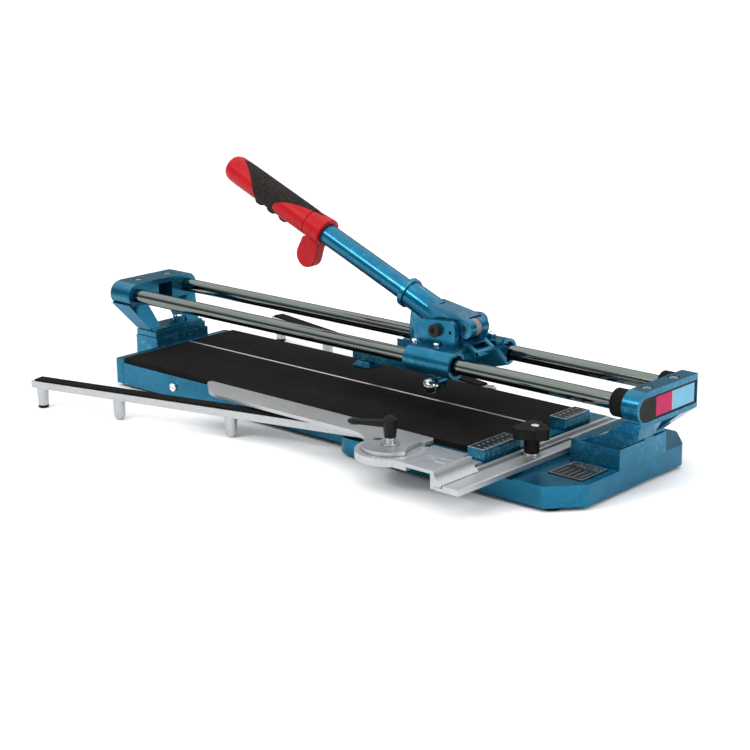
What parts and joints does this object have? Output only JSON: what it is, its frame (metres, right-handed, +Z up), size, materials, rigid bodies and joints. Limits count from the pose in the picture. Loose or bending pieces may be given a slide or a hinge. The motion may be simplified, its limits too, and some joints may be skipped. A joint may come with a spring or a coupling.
{
  "type": "manual tile cutter",
  "caption": "Manual rail tile cutter with a sliding lever carriage, scoring wheel and breaking foot, protractor fence and swing-out tile supports.",
  "frame": {"origin": "middle of the footprint, on the bench", "axes": "+X along the rails towards the fence end, +Y to the back, +Z up"},
  "size_m": [1.028, 0.5454, 0.3633],
  "materials": {
    "blue_paint": "metallic teal-blue hammertone paint, glossy",
    "cast_paint": "aluminium castings in metallic teal-blue hammertone paint, glossy",
    "rail_chrome": "ground and hard-chromed rod",
    "chrome": "bright plated fasteners",
    "steel": "satin steel",
    "aluminium": "satin extruded and cast aluminium",
    "pad_rubber": "fine-textured sheet rubber, matt",
    "foot_rubber": "moulded rubber, matt",
    "grip_rubber": "soft moulded grip with a fine leaf texture",
    "black_plastic": "black moulded plastic, slightly glossy",
    "red_plastic": "red moulded plastic",
    "bush": "grey bearing plastic",
    "label": "two-tone blank label",
    "plate": "black anodised plate with plain silver lines",
    "black_steel": "black-oxide steel"
  },
  "bodies": {
    "base": {"base_frame": "cast_paint", "end_casting": "cast_paint", "base_casting": "cast_paint", "pad_front": "pad_rubber", "pad_rear": "pad_rubber", "breaker_strip": "steel", "foot_front_right": "foot_rubber", "foot_rear_right": "foot_rubber", "foot_front_left": "foot_rubber", "foot_rear_left": "foot_rubber", "rating_plate": "plate", "frame_bolt": "chrome", "rail_support_left": "cast_paint", "rail_support_right": "cast_paint", "rail_cap_left": "cast_paint", "rail_cap_right": "cast_paint", "cap_screw_left_front": "steel", "cap_screw_left_rear": "steel", "cap_screw_right_front": "steel", "cap_screw_right_rear": "steel", "support_bolt_left": "chrome", "rail_front": "rail_chrome", "rail_rear": "rail_chrome", "bumper_front": "foot_rubber", "bumper_rear": "foot_rubber", "end_label": "label", "scale_block_front": "cast_paint", "scale_block_rear": "cast_paint", "fence_stud": "steel", "arm_bolt_front": "steel", "arm_bolt_rear": "steel"},
    "fence": {"fence_bar": "aluminium", "protractor_block": "aluminium", "clamp_stud": "steel"},
    "knob": {"fence_knob": "black_plastic"},
    "ruler": {"ruler": "aluminium"},
    "clamp": {"clamp_lever": "black_plastic"},
    "support_front": {"arm_front": "aluminium", "arm_strip_front": "pad_rubber", "arm_tip_front": "foot_rubber"},
    "support_rear": {"arm_rear": "aluminium", "arm_strip_rear": "pad_rubber", "arm_tip_rear": "foot_rubber"},
    "carriage": {"carriage_body": "cast_paint", "bush_front": "bush", "bush_rear": "bush", "side_pin": "black_steel", "pivot_pin": "steel", "pivot_spacer": "bush", "carriage_screw_a": "chrome", "carriage_screw_b": "chrome", "carriage_screw_c": "chrome"},
    "lever": {"lever_bracket": "cast_paint", "lever_tube": "blue_paint", "grip_core": "red_plastic", "grip_rubber": "grip_rubber", "wheel_axle": "chrome", "breaker_foot": "cast_paint"},
    "wheel": {"scoring_wheel": "steel"}
  },
  "joints": [
    {"name": "carriage_slide", "type": "slide", "parent": "base", "child": "carriage", "axis": [1, 0, 0], "range_m": [-0.385, 0.185]},
    {"name": "lever_tilt", "type": "hinge", "parent": "carriage", "child": "lever", "pos_m": [0.194, 0.0318, 0.169], "axis": [0, 1, 0], "range_deg": [-5, 50]},
    {"name": "wheel_spin", "type": "hinge", "parent": "lever", "child": "wheel", "pos_m": [0.121, 0.0318, 0.072], "axis": [0, 1, 0], "continuous": true},
    {"name": "fence_slide", "type": "slide", "parent": "base", "child": "fence", "axis": [0, 1, 0], "range_m": [-0.08, 0]},
    {"name": "knob_turn", "type": "hinge", "parent": "base", "child": "knob", "pos_m": [0.373, -0.0732, 0.08], "axis": [0, 0, 1], "range_deg": [0, 360]},
    {"name": "ruler_turn", "type": "hinge", "parent": "fence", "child": "ruler", "pos_m": [0.22, -0.1802, 0.05], "axis": [0, 0, 1], "range_deg": [-45, 47]},
    {"name": "clamp_turn", "type": "hinge", "parent": "fence", "child": "clamp", "pos_m": [0.22, -0.1802, 0.08], "axis": [0, 0, 1], "range_deg": [0, 90]},
    {"name": "support_front_swing", "type": "hinge", "parent": "base", "child": "support_front", "pos_m": [0.13, -0.1222, 0.037], "axis": [0, 0, 1], "range_deg": [-14, 76]},
    {"name": "support_rear_swing", "type": "hinge", "parent": "base", "child": "support_rear", "pos_m": [0.13, 0.1438, 0.037], "axis": [0, 0, -1], "range_deg": [-11.8, 78.2]}
  ]
}
